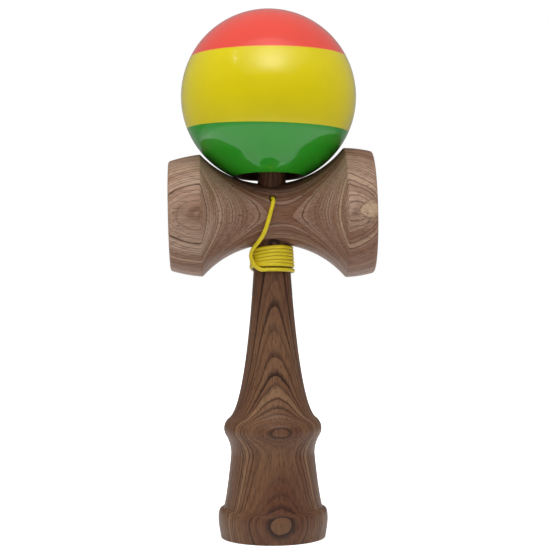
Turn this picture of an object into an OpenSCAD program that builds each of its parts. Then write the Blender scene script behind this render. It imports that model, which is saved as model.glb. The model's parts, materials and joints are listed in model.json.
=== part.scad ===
// Kendama: a turned handle (ken) with a spike and a base cup, a cross piece (sarado) with two cups,
// and a ball (tama) that sits on the spike and is tied to the handle by a string.
// Millimetres. It stands on the rim of its base cup, +Z up, with the big cup towards +X
// and the string hole towards -Y.

/* [Ball] */
// Diameter of the ball
ball_d = 60; // [56:0.5:64]
// Diameter of the hole that takes the spike
ball_bore_d = 22.4; // [20:0.2:25]
// Width of the bevel around the mouth of that hole
ball_bevel = 0.5; // [0.4:0.1:1.4]
// Height of that hole's closed end above the middle of the ball
ball_bore_rise = 15; // [12:0.5:18]
// Diameter of the string hole through the top of the ball
ball_string_hole_d = 3.6; // [3:0.1:4.6]
// Width of the countersink where the string enters the ball
ball_countersink = 1; // [0.6:0.1:1.6]
// Lean of the ball in degrees, with the spike's hole turned towards the front
ball_lean = 5; // [0:0.5:7]
// Distance of the ball's middle from the hollow's middle, towards the small cup
ball_side = 0.25; // [0:0.05:0.4]

/* [Bead] */
// Diameter of the bead that holds the string inside the ball
bead_d = 8; // [6:0.5:10]
// Diameter of the bead's string hole
bead_hole_d = 2.4; // [2:0.1:2.8]

/* [Cross piece] */
// Distance between the rims of the two cups
sarado_l = 69.8; // [66:0.2:76]
// Height of the cross piece's axis above the table
sarado_z = 111; // [104:0.25:118]
// Lean of the cross piece in degrees, with the big cup up
sarado_lean = 1; // [0:0.1:3]
// Diameter of the waist
sarado_waist_d = 20.7; // [18:0.1:23]
// Radius of the hollow flanks, in which the ball sits
flank_r = 32.5; // [31.5:0.25:36]
// Distance from the middle to the big cup's shoulder
big_shoulder = 25.1; // [23:0.1:27]
// Distance from the middle to the small cup's shoulder
small_shoulder = 24; // [22:0.1:26]
// Outer diameter of the big cup's rim
big_rim_d = 41.6; // [39:0.2:43]
// Outer diameter of the small cup's rim
small_rim_d = 37.4; // [35:0.2:40]
// Depth of the big cup
big_cup_depth = 8; // [6:0.5:10]
// Depth of the small cup
small_cup_depth = 7; // [5:0.5:9]
// Width of the rim around each cup
cup_lip = 1.8; // [1.4:0.1:2.6]
// Rounding of the outer edge of those rims
rim_round = 1; // [0.5:0.1:1.3]
// Crown of the band between shoulder and rim
band_crown = 0.4; // [0:0.1:0.8]

/* [Handle] */
// Largest diameter of the base ring
base_d = 37.6; // [35:0.2:40]
// Height of that largest diameter above the table
base_belly_z = 6.4; // [5:0.1:8]
// Height of the base ring
base_h = 10.25; // [10:0.05:13]
// Diameter of the base ring at the table
foot_d = 35.9; // [34:0.1:36.5]
// Diameter of the base ring's top ledge
ledge_d = 34.8; // [34.6:0.1:36]
// Rounding of the foot's edge
foot_round = 0.5; // [0.3:0.1:1]
// Diameter of the base cup's mouth
base_cup_d = 31.2; // [28:0.2:32]
// Depth of the base cup
base_cup_depth = 6; // [5:0.5:8]
// Diameter of the grip where it meets the base ring
grip_foot_d = 34.3; // [32:0.1:34.5]
// Smallest diameter of the grip
grip_waist_d = 28.8; // [26:0.2:31]
// Height of that smallest diameter above the table
grip_waist_z = 29; // [25:0.5:31]
// Diameter of the bulge above the grip
bulge_d = 33.6; // [32:0.2:36]
// Height of the bulge above the table
bulge_z = 37.5; // [36:0.25:42]
// Radius of the bulge's round edge
bulge_round = 4.5; // [3.5:0.1:5.5]
// Diameter of the neck just below the cross piece
neck_d = 11.7; // [10.5:0.1:13]
// Diameter of the spike where its tip starts to round
spike_end_d = 7; // [5:0.2:9]
// Height of the spike's round tip
spike_round_h = 3.5; // [2:0.25:6]

/* [String] */
// Diameter of the string
string_d = 1.4; // [1.2:0.1:1.6]
// Number of turns around the neck
string_turns = 7; // [5:1:8]
// Diameter of the string hole in the cross piece and the handle
string_hole_d = 2.4; // [2:0.1:2.8]
// Height of that hole above the cross piece's axis
string_hole_rise = 5; // [3:0.1:6]
// Diameter of the two knots
knot_d = 3.2; // [3:0.1:3.6]
// Diameter of the recess for the knot inside the handle
knot_bore_d = 3.8; // [3.7:0.1:4.4]
// Depth of that recess's floor behind the handle's axis
knot_seat = 0.5; // [0:0.1:1.5]

/* [Hidden] */
$fn = 128;

// How far a cut runs past the face that it opens
overrun = 1;
// Gap over the bead and along the string, which are free to turn
running_gap = 0.3;
// Gap under the ball, which rests on the cross piece
ball_gap = 0.2;
// Gap between pieces that are pushed or pulled tight
seat_gap = 0.05;
// Gap between the spike's tip and the knot above it
tip_gap = 1;
// Steps in a short curve, in the handle's long sweep and in an arc
curve_steps = 14;
sweep_steps = 28;
arc_steps = 6;
// Angles
right_angle = 90;
full_turn = 360;

// The ball's middle: its bevelled mouth rests in the hollow of the leaning cross piece
ball_r = ball_d / 2;
ball_bore_r = ball_bore_d / 2;
mouth_r = ball_bore_r + ball_bevel;
mouth_drop = sqrt(pow(ball_r, 2) - pow(mouth_r, 2));
waist_r = sarado_waist_d / 2;
hollow_centre = waist_r + flank_r;
hollow_room = flank_r - ball_gap;
mouth_reach = mouth_drop * cos(sarado_lean) + mouth_r * sin(sarado_lean);
ball_sink = sqrt(pow(mouth_reach, 2) + pow(hollow_room, 2) - pow(ball_r, 2)) - mouth_reach;
ball_x = -(hollow_centre - ball_sink) * sin(sarado_lean) - ball_side;
ball_z = sarado_z + (hollow_centre - ball_sink) * cos(sarado_lean);

// The bead hangs on the edge of the ball's string hole, and the knot in the bead's hole,
// both given as distances above the ball's middle along its leaning axis
ball_string_hole_r = ball_string_hole_d / 2;
bead_r = bead_d / 2;
bead_hole_r = bead_hole_d / 2;
knot_r = knot_d / 2;
string_hole_r = string_hole_d / 2;
bead_rise = ball_bore_rise - running_gap - sqrt(pow(bead_r, 2) - pow(ball_string_hole_r, 2));
bead_seat = sqrt(pow(bead_r, 2) - pow(bead_hole_r, 2)) + sqrt(pow(knot_r, 2) - pow(bead_hole_r, 2));
bead_knot_rise = bead_rise - bead_seat - seat_gap;

// The spike's tip stays just below the knot, and its taper starts under the cross piece
spike_tip_z = ball_z + bead_knot_rise * cos(ball_lean) - knot_r - tip_gap;
spike_end_z = spike_tip_z - spike_round_h;
spike_end_r = spike_end_d / 2;
neck_r = neck_d / 2;
neck_z = sarado_z - waist_r;
taper = (spike_end_r - neck_r) / (spike_end_z - neck_z);

// The string hole and the knot's seat in the handle
string_hole_z = sarado_z + string_hole_rise;
ken_knot_y = knot_seat + sqrt(pow(knot_r, 2) - pow(string_hole_r, 2)) + seat_gap;

// Lengths of the handle curves' tangents, as shares of the height that each curve climbs
flare_tangent_shares = [0.06, 0.06];
rise_tangent_shares = [0.58, 0.03];
sweep_tangent_shares = [0.14, 0.02];
belly_tangent_shares = [0.3, 0.3];
shoulder_tangent_shares = [0.8, 0.25];
// Lean of the flare's first tangent, out per up
flare_slope_share = 0.84;
// Angles at which the bulge's round edge meets the curves below and above it
bulge_low_angle = 34;
bulge_high_angle = 53;
// Height of the winding, as a share of its turns side by side, because they are pulled tight
packing_share = 0.88;
// Places of the tangent points along the crowned band
crown_shares = [1 / 3, 2 / 3];

// The string's route from its knot, out of the hole and down to the winding's lowest turn
lead_route = [
    [0, 1, 116.1], [0, -3, 116.1], [0, -6.5, 116.1], [0.1, -8.6, 116.1], [0.2, -9.6, 115.9],
    [0.2, -10.5, 115.3], [0, -11.1, 114], [-0.5, -11.3, 112.2], [-1.1, -11.3, 110],
    [-1.8, -11, 107.6], [-2.7, -10.4, 105], [-3.7, -9.5, 103], [-5, -8.2, 101.2],
    [-6.2, -6.6, 99.7], [-7.1, -4.9, 98], [-7.3, -4.5, 96.4], [-6.9, -5, 94.9],
    [-6.2, -5.8, 93.6], [-5, -6.2, 92.6], [-3.6, -6.4, 92]
];
// Its route over the ball and down to the bead, as distances behind and above the ball's middle
// along its leaning axis: round the back, then into the hole
over_r = ball_r + string_d / 2 + running_gap;
over_route = [for (a = [118 : -8 : 22]) over_r * [sin(a), cos(a)]];
entry_route = [
    [9, -0.3], [5.8, 0.55], [3.6, 0.8], [2, 0.45], [0.85, -0.5], [0.2, -1.9], [0, -3.8], [0, -7.6],
    [0, -11.6], [0, -15.6], [0, -19.4], [0, -21.8]
];
function on_ball(p) = [ball_x, p.x * cos(ball_lean) + p.y * sin(ball_lean),
    ball_z + p.y * cos(ball_lean) - p.x * sin(ball_lean)];
// Its whole route from the winding's back, up behind the cross piece and over the ball
riser_route = concat(
    [[5.2, 4.2, 98.7], [3.8, 5.6, 98.9], [2.4, 6.8, 100], [1.4, 7.8, 102], [0.6, 9.1, 104.2],
     [0, 10.45, 106.5], [-0.3, 12.1, 109.5], [-0.5, 14.2, 113.5], [-0.6, 16.5, 117.5],
     [-0.7, 18.8, 121.5], [-0.7, 21, 125.5], [-0.7, 23.3, 129.5]],
    [for (p = over_route) on_ball(p)],
    [for (p = entry_route) on_ball([p.x, ball_r + p.y])]
);
// Number of sides of the string's tube, and the way that its first side faces
string_sides = 8;
first_side = [1, 0, 1];

// Points on a cubic curve or a circle's arc, without the first one
function cubic(p, t) = pow(1 - t, 3) * p[0] + 3 * t * pow(1 - t, 2) * p[1]
    + 3 * t * t * (1 - t) * p[2] + pow(t, 3) * p[3];
function curve(p, steps) = [for (i = [1 : steps]) cubic(p, i / steps)];
function arc(centre, r, from, to) = [for (i = [1 : arc_steps])
    centre + r * [cos(from + (to - from) * i / arc_steps), sin(from + (to - from) * i / arc_steps)]];

// Outline of the handle, as radius and height, from the middle of the foot up to the spike's tip
foot_r = foot_d / 2;
base_r = base_d / 2;
ledge_r = ledge_d / 2;
foot_top = [foot_r, foot_round];
belly = [base_r, base_belly_z];
ledge = [ledge_r, base_h];
grip_foot = [grip_foot_d / 2, base_h];
grip_waist = [grip_waist_d / 2, grip_waist_z];
bulge_centre = [bulge_d / 2 - bulge_round, bulge_z];
bulge_low = bulge_centre + bulge_round * [cos(bulge_low_angle), -sin(bulge_low_angle)];
bulge_high = bulge_centre + bulge_round * [cos(bulge_high_angle), sin(bulge_high_angle)];
neck = [neck_r, neck_z];
belly_climb = base_belly_z - foot_round;
shoulder_climb = base_h - base_belly_z;
flare_climb = grip_waist_z - base_h;
rise_climb = bulge_low.y - grip_waist_z;
sweep_climb = neck_z - bulge_high.y;
up = [0, 1];
belly_curve = curve([foot_top, foot_top + belly_tangent_shares[0] * [base_r - foot_r, belly_climb],
    belly - belly_tangent_shares[1] * belly_climb * up, belly], arc_steps);
shoulder_curve = curve([belly, belly + shoulder_tangent_shares[0] * shoulder_climb * up,
    ledge + shoulder_tangent_shares[1] * [shoulder_climb, 0], ledge], curve_steps);
flare_curve = curve([grip_foot, grip_foot + flare_tangent_shares[0] * flare_climb * [-flare_slope_share, 1],
    grip_waist - flare_tangent_shares[1] * flare_climb * up, grip_waist], curve_steps);
rise_curve = curve([grip_waist, grip_waist + rise_tangent_shares[0] * rise_climb * up,
    bulge_low - rise_tangent_shares[1] * rise_climb * [sin(bulge_low_angle), cos(bulge_low_angle)],
    bulge_low], curve_steps);
sweep_curve = curve([bulge_high,
    bulge_high + sweep_tangent_shares[0] * sweep_climb * [-sin(bulge_high_angle), cos(bulge_high_angle)],
    neck - sweep_tangent_shares[1] * sweep_climb * [taper, 1], neck], sweep_steps);
tip_curve = [for (p = arc([0, 0], 1, 0, right_angle))
    [spike_end_r * p.x, spike_end_z + spike_round_h * p.y]];
ken_outline = concat(
    [[0, 0], [foot_r - foot_round, 0]],
    arc([foot_r - foot_round, foot_round], foot_round, -right_angle, 0),
    belly_curve, shoulder_curve, [grip_foot], flare_curve, rise_curve,
    arc(bulge_centre, bulge_round, -bulge_low_angle, bulge_high_angle),
    sweep_curve, [[spike_end_r, spike_end_z]], tip_curve);

// Radius of the neck and of the spike's taper at a height
neck_table = [for (p = sweep_curve) [p.y, p.x]];
function neck_radius(z) = lookup(z, neck_table);
function taper_radius(z) = neck_r + taper * (z - neck_z);

// Radius of a cup's bowl from its mouth and its depth
function bowl_radius(mouth, depth) = (mouth * mouth + depth * depth) / (2 * depth);

// Outline of one end of the cross piece, as radius and distance from the middle, shoulder first
function flank_radius(x) = hollow_centre - sqrt(pow(flank_r, 2) - pow(x, 2));
function end_outline(shoulder, rim_d) =
    let (rim_r = rim_d / 2,
         start = [flank_radius(shoulder), shoulder],
         rim_centre = [rim_r - rim_round, sarado_l / 2 - rim_round],
         slant = atan2(start.x - rim_r, sarado_l / 2 - shoulder),
         end = rim_centre + rim_round * [cos(slant), sin(slant)],
         crown = [band_crown, 0],
         first = start + crown_shares[0] * (end - start) + crown,
         second = start + crown_shares[1] * (end - start) + crown,
         before = start - overrun * (first - start) / norm(first - start))
    concat([before, start], curve([start, first, second, end], arc_steps),
        arc(rim_centre, rim_round, slant, right_angle), [[0, sarado_l / 2]]);
function mirrored(points) = [for (i = [len(points) - 1 : -1 : 0]) [points[i].x, -points[i].y]];
big_outline = end_outline(big_shoulder, big_rim_d);
small_outline = end_outline(small_shoulder, small_rim_d);

// The winding fills the neck from under the cross piece down
winding_top_r = neck_radius(neck_z) + string_d + seat_gap;
winding_top = sarado_z - flank_radius(winding_top_r) - winding_top_r * sin(sarado_lean) - running_gap;
winding_bottom = winding_top - string_turns * string_d * packing_share;

// A tube swept along a route, with each ring square to the route
function unit(v) = v / norm(v);
function heading(route, i) = unit(route[min(i + 1, len(route) - 1)] - route[max(i - 1, 0)]);
function square_to(side, ahead) = unit(side - (side * ahead) * ahead);
function sides_of(route) = [for (i = 0, side = square_to(first_side, heading(route, 0));
    i < len(route);
    i = i + 1, side = i < len(route) ? square_to(side, heading(route, i)) : side) side];
function ring(centre, ahead, side, r) = [for (k = [0 : string_sides - 1])
    let (a = k * full_turn / string_sides) centre + r * (cos(a) * side + sin(a) * cross(ahead, side))];

module string_tube(route) {
    sides = sides_of(route);
    last = (len(route) - 1) * string_sides;
    points = [for (i = [0 : len(route) - 1])
        each ring(route[i], heading(route, i), sides[i], string_d / 2)];
    walls = [for (i = [0 : len(route) - 2]) for (k = [0 : string_sides - 1])
        let (a = i * string_sides + k, b = i * string_sides + (k + 1) % string_sides)
        each [[a, a + string_sides, b + string_sides], [a, b + string_sides, b]]];
    first_cap = [for (k = [0 : string_sides - 1]) k];
    last_cap = [for (k = [string_sides - 1 : -1 : 0]) last + k];
    color("gold") polyhedron(points, concat([first_cap], walls, [last_cap]));
}

// A round hole towards the back, from one distance behind the handle's axis to another
module cross_hole(d, from, to)
    translate([0, from, string_hole_z])
        rotate([-right_angle, 0, 0])
            cylinder(h = to - from, d = d);

module ken() color("saddlebrown") difference() {
    base_bowl_r = bowl_radius(base_cup_d / 2, base_cup_depth);
    rotate_extrude() difference() {
        polygon(ken_outline);
        translate([0, base_cup_depth - base_bowl_r]) circle(r = base_bowl_r);
    }
    cross_hole(string_hole_d, -neck_d, knot_seat + overrun);
    cross_hole(knot_bore_d, knot_seat, neck_d);
}

module sarado() color("rosybrown") difference() {
    big_bowl_r = bowl_radius(big_rim_d / 2 - cup_lip, big_cup_depth);
    small_bowl_r = bowl_radius(small_rim_d / 2 - cup_lip, small_cup_depth);
    bore_low = sarado_z - hollow_centre;
    bore_high = sarado_z + hollow_centre;
    translate([0, 0, sarado_z])
        rotate([0, right_angle - sarado_lean, 0])
            rotate_extrude() difference() {
                polygon(concat(mirrored(small_outline), big_outline));
                translate([hollow_centre, 0]) circle(r = flank_r);
                translate([0, sarado_l / 2 - big_cup_depth + big_bowl_r]) circle(r = big_bowl_r);
                translate([0, small_cup_depth - small_bowl_r - sarado_l / 2]) circle(r = small_bowl_r);
            }
    translate([0, 0, bore_low])
        cylinder(h = bore_high - bore_low, r1 = taper_radius(bore_low) + seat_gap,
            r2 = taper_radius(bore_high) + seat_gap);
    cross_hole(string_hole_d, -sarado_waist_d, 0);
}

// Puts pieces on the ball's leaning axis
module on_ball_axis() translate([ball_x, 0, ball_z]) rotate([-ball_lean, 0, 0]) children();

module tama() color("gold") on_ball_axis() difference() {
    entry_r = ball_string_hole_r + ball_countersink;
    entry_rise = sqrt(pow(ball_r, 2) - pow(entry_r, 2));
    sphere(r = ball_r);
    translate([0, 0, -ball_d]) cylinder(h = ball_d + ball_bore_rise, r = ball_bore_r);
    translate([0, 0, -mouth_drop - overrun])
        cylinder(h = ball_bevel + overrun, r1 = mouth_r + overrun, r2 = ball_bore_r);
    cylinder(h = ball_d, r = ball_string_hole_r);
    translate([0, 0, entry_rise - ball_countersink])
        cylinder(h = ball_countersink + overrun, r1 = ball_string_hole_r, r2 = entry_r + overrun);
}

module string_lead() string_tube(lead_route);

module string_winding() {
    low_r = neck_radius(winding_bottom) + seat_gap;
    high_r = neck_radius(winding_top) + seat_gap;
    color("gold") rotate_extrude()
        polygon([[low_r, winding_bottom], [low_r + string_d, winding_bottom],
            [high_r + string_d, winding_top], [high_r, winding_top]]);
}

module string_riser() string_tube(riser_route);

module ken_knot() color("gold") translate([0, ken_knot_y, string_hole_z]) sphere(r = knot_r);

module string_bead() color("peru") on_ball_axis() translate([0, 0, bead_rise]) difference() {
    sphere(r = bead_r);
    translate([0, 0, -bead_d]) cylinder(h = 2 * bead_d, r = bead_hole_r);
}

module bead_knot() color("gold") on_ball_axis() translate([0, 0, bead_knot_rise]) sphere(r = knot_r);

ken();
sarado();
tama();
string_lead();
string_winding();
string_riser();
ken_knot();
string_bead();
bead_knot();
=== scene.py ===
# %% [markdown]
# # A kendama on a white table
#
# A kendama is three turned pieces of wood and a string: a handle with a spike (ken), a cross piece with
# two cups (sarado) and a lacquered ball (tama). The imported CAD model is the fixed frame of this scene.
# It holds every size and joint, so the first step loads it and keeps its box. All that follows gives
# the pieces their finish and keeps to the frame's sizes. Only the ball and the cross piece move, by less
# than a fifth of a millimetre, so that one rests on the other.

import json
from math import asin, atan2, cos, floor, pi, radians, sin, sqrt

import bmesh
import bpy
from mathutils import Matrix, Vector
from mathutils.geometry import interpolate_bezier


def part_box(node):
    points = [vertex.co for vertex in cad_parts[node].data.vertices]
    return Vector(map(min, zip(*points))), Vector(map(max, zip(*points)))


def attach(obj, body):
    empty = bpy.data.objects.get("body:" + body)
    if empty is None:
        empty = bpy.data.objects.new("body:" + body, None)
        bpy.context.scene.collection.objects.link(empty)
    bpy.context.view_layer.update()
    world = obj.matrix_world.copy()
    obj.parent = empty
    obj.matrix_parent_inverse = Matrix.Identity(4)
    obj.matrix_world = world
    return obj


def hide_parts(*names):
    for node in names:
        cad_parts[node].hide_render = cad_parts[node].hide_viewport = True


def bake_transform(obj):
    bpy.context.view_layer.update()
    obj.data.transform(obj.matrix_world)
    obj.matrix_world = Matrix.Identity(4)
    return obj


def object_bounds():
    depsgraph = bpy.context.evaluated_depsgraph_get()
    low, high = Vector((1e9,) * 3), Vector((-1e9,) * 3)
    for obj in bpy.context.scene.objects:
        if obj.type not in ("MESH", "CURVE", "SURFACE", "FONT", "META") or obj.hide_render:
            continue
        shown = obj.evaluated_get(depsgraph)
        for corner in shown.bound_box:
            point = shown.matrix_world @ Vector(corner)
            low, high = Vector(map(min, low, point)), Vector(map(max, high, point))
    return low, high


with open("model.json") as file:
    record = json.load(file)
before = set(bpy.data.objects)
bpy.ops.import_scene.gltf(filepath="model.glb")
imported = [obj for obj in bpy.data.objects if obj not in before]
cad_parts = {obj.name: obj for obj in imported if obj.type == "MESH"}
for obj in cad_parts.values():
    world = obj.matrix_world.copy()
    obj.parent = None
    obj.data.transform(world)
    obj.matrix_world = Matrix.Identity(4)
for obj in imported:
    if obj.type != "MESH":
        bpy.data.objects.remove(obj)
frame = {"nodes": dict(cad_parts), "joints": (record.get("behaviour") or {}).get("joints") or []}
cad_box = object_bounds()
MM = 0.001
scene = bpy.context.scene
scene.view_settings.view_transform = "Standard"
cad_size = [round(side / MM, 1) for side in cad_box[1] - cad_box[0]]
print("frame:", len(frame["nodes"]), "solids,", cad_size, "mm")

# %% [markdown]
# ## The camera
#
# The picture is a product photograph taken with a long lens from a little over half a metre, near the
# height of the cross piece and slightly to its left. The stripes on the ball show how high the lens
# was: where it looks at a stripe from below, the stripe bends up in the middle. A focal length counted
# in pixels of the picture becomes a lens length once it is divided by the picture's width. Two small
# helpers start here, because lamps and meshes need them too: one puts an object into the scene, the
# other turns it towards a point.

# %% Place the camera
PICTURE_SIDE = 550
FOCAL_PIXELS = 1571
CAMERA_PLACE = Vector((-16.0, -539.8, 98.1)) * MM
CAMERA_AIM = Vector((1.0, 0.0, 90.1)) * MM
CAMERA_ROLL = radians(-0.26)


def put(name, data):
    """Puts a new object with this mesh, lamp or camera into the scene."""
    made = bpy.data.objects.new(name, data)
    scene.collection.objects.link(made)
    return made


def facing(place, aim):
    """The turn that makes a camera, a lamp or a panel look from one place at another."""
    return (Vector(aim) - Vector(place)).to_track_quat("-Z", "Y").to_matrix()


camera_data = bpy.data.cameras.new("photo_camera")
camera_data.lens = FOCAL_PIXELS / PICTURE_SIDE * camera_data.sensor_width
camera = put("photo_camera", camera_data)
camera.location = CAMERA_PLACE
roll = Matrix.Rotation(CAMERA_ROLL, 3, "Z")
camera.rotation_euler = (facing(CAMERA_PLACE, CAMERA_AIM) @ roll).to_euler()
scene.camera = camera
camera_distance = round((CAMERA_AIM - CAMERA_PLACE).length, 3)
print("camera:", round(camera_data.lens, 1), "mm lens,", camera_distance, "m away")

# %% [markdown]
# ## Small helpers for node trees
#
# Blender's node trees can be drawn by hand or written as code. In code, most of the work is making a
# node, setting its options and joining its sockets, so that gets one short function. It returns a wire:
# the output of a node, together with its tree. Sums of wires and plain numbers can then be written with
# the usual signs. Each sign adds one Math node, so a formula reads here as it would on paper.


# %% Make nodes and groups
class Wire:
    """A node's output. Each sign between a wire and a wire or number adds a Math node."""

    def __init__(self, tree, socket):
        self.tree = tree
        self.socket = socket

    def __add__(self, other):
        return maths("ADD", self, other)

    def __sub__(self, other):
        return maths("SUBTRACT", self, other)

    def __rsub__(self, other):
        return maths("SUBTRACT", other, self)

    def __mul__(self, other):
        return maths("MULTIPLY", self, other)

    def __truediv__(self, other):
        return maths("DIVIDE", self, other)


def feed(tree, sockets, values):
    """Joins wires to sockets, or sets plain values on them; values go by a socket's name or number."""
    for label, value in values.items():
        if isinstance(value, Wire):
            tree.links.new(value.socket, sockets[label])
        else:
            sockets[label].default_value = value


def node(tree, kind, *values, out=0, named=None, **options):
    """Adds a node, feeds its first inputs with values and others by name, and returns one output."""
    made = tree.nodes.new(kind)
    for option, value in options.items():
        setattr(made, option, value)
    feed(tree, made.inputs, {**dict(enumerate(values)), **(named or {})})
    return Wire(tree, made.outputs[out])


def maths(operation, *values):
    """A Math node on wires and numbers, in the tree of the first wire."""
    tree = next(value.tree for value in values if isinstance(value, Wire))
    return node(tree, "ShaderNodeMath", *values, operation=operation)


def wires(tree, sockets):
    """The outputs of a node as wires, by their names."""
    return {socket.name: Wire(tree, socket) for socket in sockets}


def new_group(name, kind, inputs, outputs):
    """A node group with named sockets; inputs and outputs give each name its socket type."""
    tree = bpy.data.node_groups.new(name, kind)
    for way, sockets in (("INPUT", inputs), ("OUTPUT", outputs)):
        for label, socket_type in sockets.items():
            tree.interface.new_socket(label, in_out=way, socket_type="NodeSocket" + socket_type)
    given = wires(tree, tree.nodes.new("NodeGroupInput").outputs)
    return tree, given, tree.nodes.new("NodeGroupOutput").inputs


# A first try of a formula, in a group that is not kept
trial, given, result = new_group("Trial", "ShaderNodeTree", {"Size": "Float"}, {"Result": "Float"})
feed(trial, result, {"Result": given["Size"] * 2 + 1})
print("twice a size and one more takes", len(trial.nodes) - 2, "Math nodes")
bpy.data.node_groups.remove(trial)

# %% [markdown]
# ## From a line to a finished mesh
#
# Every piece here starts as a bare line: the string's route, or the outline that a turner would follow
# with a gouge. A Geometry Nodes tree makes the surface from that line. The result is then copied into a
# plain mesh, its doubled points along the seam are merged, and its faces are turned outwards, because
# the finished pieces should not depend on live modifiers.

# %% Grow a mesh from a line
MERGE_DISTANCE = 0.002 * MM
SHARP_ANGLE = radians(35)


def polyline(name, points):
    """A bare line of points in millimetres, as an object for a node tree to work on."""
    mesh = bpy.data.meshes.new(name)
    edges = [(i, i + 1) for i in range(len(points) - 1)]
    mesh.from_pydata([Vector(point) * MM for point in points], edges, [])
    return put(name, mesh)


def grow(line, tree, sizes):
    """Gives a line a node tree with named sizes, set by socket identifier before it is evaluated."""
    modifier = line.modifiers.new(tree.name, "NODES")
    modifier.node_group = tree
    for item in tree.interface.items_tree:
        if item.in_out == "INPUT" and item.name in sizes:
            modifier[item.identifier] = sizes[item.name]
    return line


def settle(made, name):
    """Turns an object with its modifiers into a plain, closed, smooth mesh."""
    view = bpy.context.evaluated_depsgraph_get()
    mesh = bpy.data.meshes.new_from_object(
        made.evaluated_get(view), preserve_all_data_layers=True, depsgraph=view)
    shape = bmesh.new()
    shape.from_mesh(mesh)
    bmesh.ops.remove_doubles(shape, verts=shape.verts, dist=MERGE_DISTANCE)
    bmesh.ops.recalc_face_normals(shape, faces=shape.faces)
    open_edges = sum(not edge.is_manifold for edge in shape.edges)
    shape.to_mesh(mesh)
    shape.free()
    mesh.shade_smooth()
    mesh.set_sharp_from_angle(angle=SHARP_ANGLE)
    bpy.data.objects.remove(made)
    print(f"{name}: {len(mesh.polygons)} faces, {open_edges} open edges")
    return put(name, mesh)


# %% [markdown]
# ## The string's route
#
# The string starts at a knot inside the handle, comes out of the hole in the cross piece, crosses over
# its own winding and runs seven times around the neck. From the back of the winding it goes straight up
# behind the ball and over it to the string hole. The ball leans back a little on the spike, so the last
# stretch is measured along its axis, which the frame's spin joint holds. The other points repeat those
# of the CAD model, so the string runs where the frame has it.

# %% Mark the string's route
LEAD_ROUTE = [
    (0, 1, 116.1), (0, -3, 116.1), (0, -6.5, 116.1), (0.1, -8.6, 116.1), (0.2, -9.6, 115.9),
    (0.2, -10.5, 115.3), (0, -11.1, 114), (-0.5, -11.3, 112.2), (-1.1, -11.3, 110),
    (-1.8, -11, 107.6), (-2.7, -10.4, 105), (-3.7, -9.5, 103), (-5, -8.2, 101.2),
    (-6.2, -6.6, 99.7), (-7.1, -4.9, 98), (-7.3, -4.5, 96.4), (-6.9, -5, 94.9),
    (-6.2, -5.8, 93.6), (-5, -6.2, 92.6), (-3.6, -6.4, 92),
]
RISER_ROUTE = [
    (5.2, 4.2, 98.7), (3.8, 5.6, 98.9), (2.4, 6.8, 100), (1.4, 7.8, 102), (0.6, 9.1, 104.2),
    (0, 10.45, 106.5), (-0.3, 12.1, 109.5), (-0.5, 14.2, 113.5), (-0.6, 16.5, 117.5),
    (-0.7, 18.8, 121.5), (-0.7, 21, 125.5), (-0.7, 23.3, 129.5),
]
# The last stretch into the ball, as distances behind its axis and above its surface
ENTRY_ROUTE = [
    (9, -0.3), (5.8, 0.55), (3.6, 0.8), (2, 0.45), (0.85, -0.5), (0.2, -1.9), (0, -3.8), (0, -7.6),
    (0, -11.6), (0, -15.6), (0, -19.4), (0, -21.8),
]
OVER_R = 31
OVER_ANGLES = range(118, 21, -8)
BALL_R = 30
ball_spin = next(joint for joint in frame["joints"] if joint["name"] == "tama_spin")
BALL_CENTRE = Vector(ball_spin["pos_m"]) / MM
BALL_LEAN = atan2(ball_spin["axis"][1], ball_spin["axis"][2])


def on_ball(behind, above):
    """A point behind and above the ball's middle, along its leaning axis."""
    return BALL_CENTRE + Matrix.Rotation(-BALL_LEAN, 3, "X") @ Vector((0, behind, above))


over_route = [on_ball(OVER_R * sin(radians(angle)), OVER_R * cos(radians(angle))) for angle in OVER_ANGLES]
entry_route = [on_ball(behind, BALL_R + above) for behind, above in ENTRY_ROUTE]
upper_route = RISER_ROUTE + over_route + entry_route
print("route:", len(LEAD_ROUTE), "points to the winding,", len(upper_route), "from there into the ball")

# %% [markdown]
# ## The winding
#
# Seven turns lie side by side around the neck. A plain helix would be the first idea, but a string that
# is wound by hand lies almost level for most of a turn and then climbs to the next one. So a function
# gives a height for every angle: level at the right, climbing at the left. One smooth curve through the
# points of the route and of the turns is the string's middle line. It is made of Bezier pieces, because
# they can pass through every point without a corner.

# %% Wind the turns
STRING_D = 1.4
STRING_GAP = 0.05
TURN_HEIGHTS = [91.5, 93.2, 94.4, 95.6, 96.8, 98.0, 99.2]
FRONT_LIFT = 0.6
TURN_POINTS = 24
# The neck's radius at the foot of the winding, and how much it narrows per millimetre upwards
NECK_FOOT_R = 6.42
NECK_FOOT_Z = 90.77
NECK_TAPER = 0.059
# Shares of a turn between which the string climbs to the next one. The lead crosses the first climb,
# which is therefore further back. A turn is counted from a little past the front.
FIRST_CLIMB, LATER_CLIMB = (0.4, 0.76), (0.6, 1.0)
PAST_FRONT = 0.1
ROUTE_STEP = 0.19


def smooth_step(share):
    share = min(max(share, 0), 1)
    return share * share * (3 - 2 * share)


def turn_point(angle):
    """A point of the winding: level at the right, and climbing to the next turn at the left."""
    turn = (angle + pi / 2) / (2 * pi) - PAST_FRONT
    number = floor(turn)
    start, end = LATER_CLIMB if number else FIRST_CLIMB
    climb = smooth_step((turn - number - start) / (end - start))
    below = TURN_HEIGHTS[max(number, 0)]
    above = TURN_HEIGHTS[min(number + 1, len(TURN_HEIGHTS) - 1)]
    height = below + (above - below) * climb - FRONT_LIFT * sin(angle)
    radius = NECK_FOOT_R - NECK_TAPER * (height - NECK_FOOT_Z) + STRING_GAP + STRING_D / 2
    return (radius * cos(angle), radius * sin(angle), height)


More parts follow.
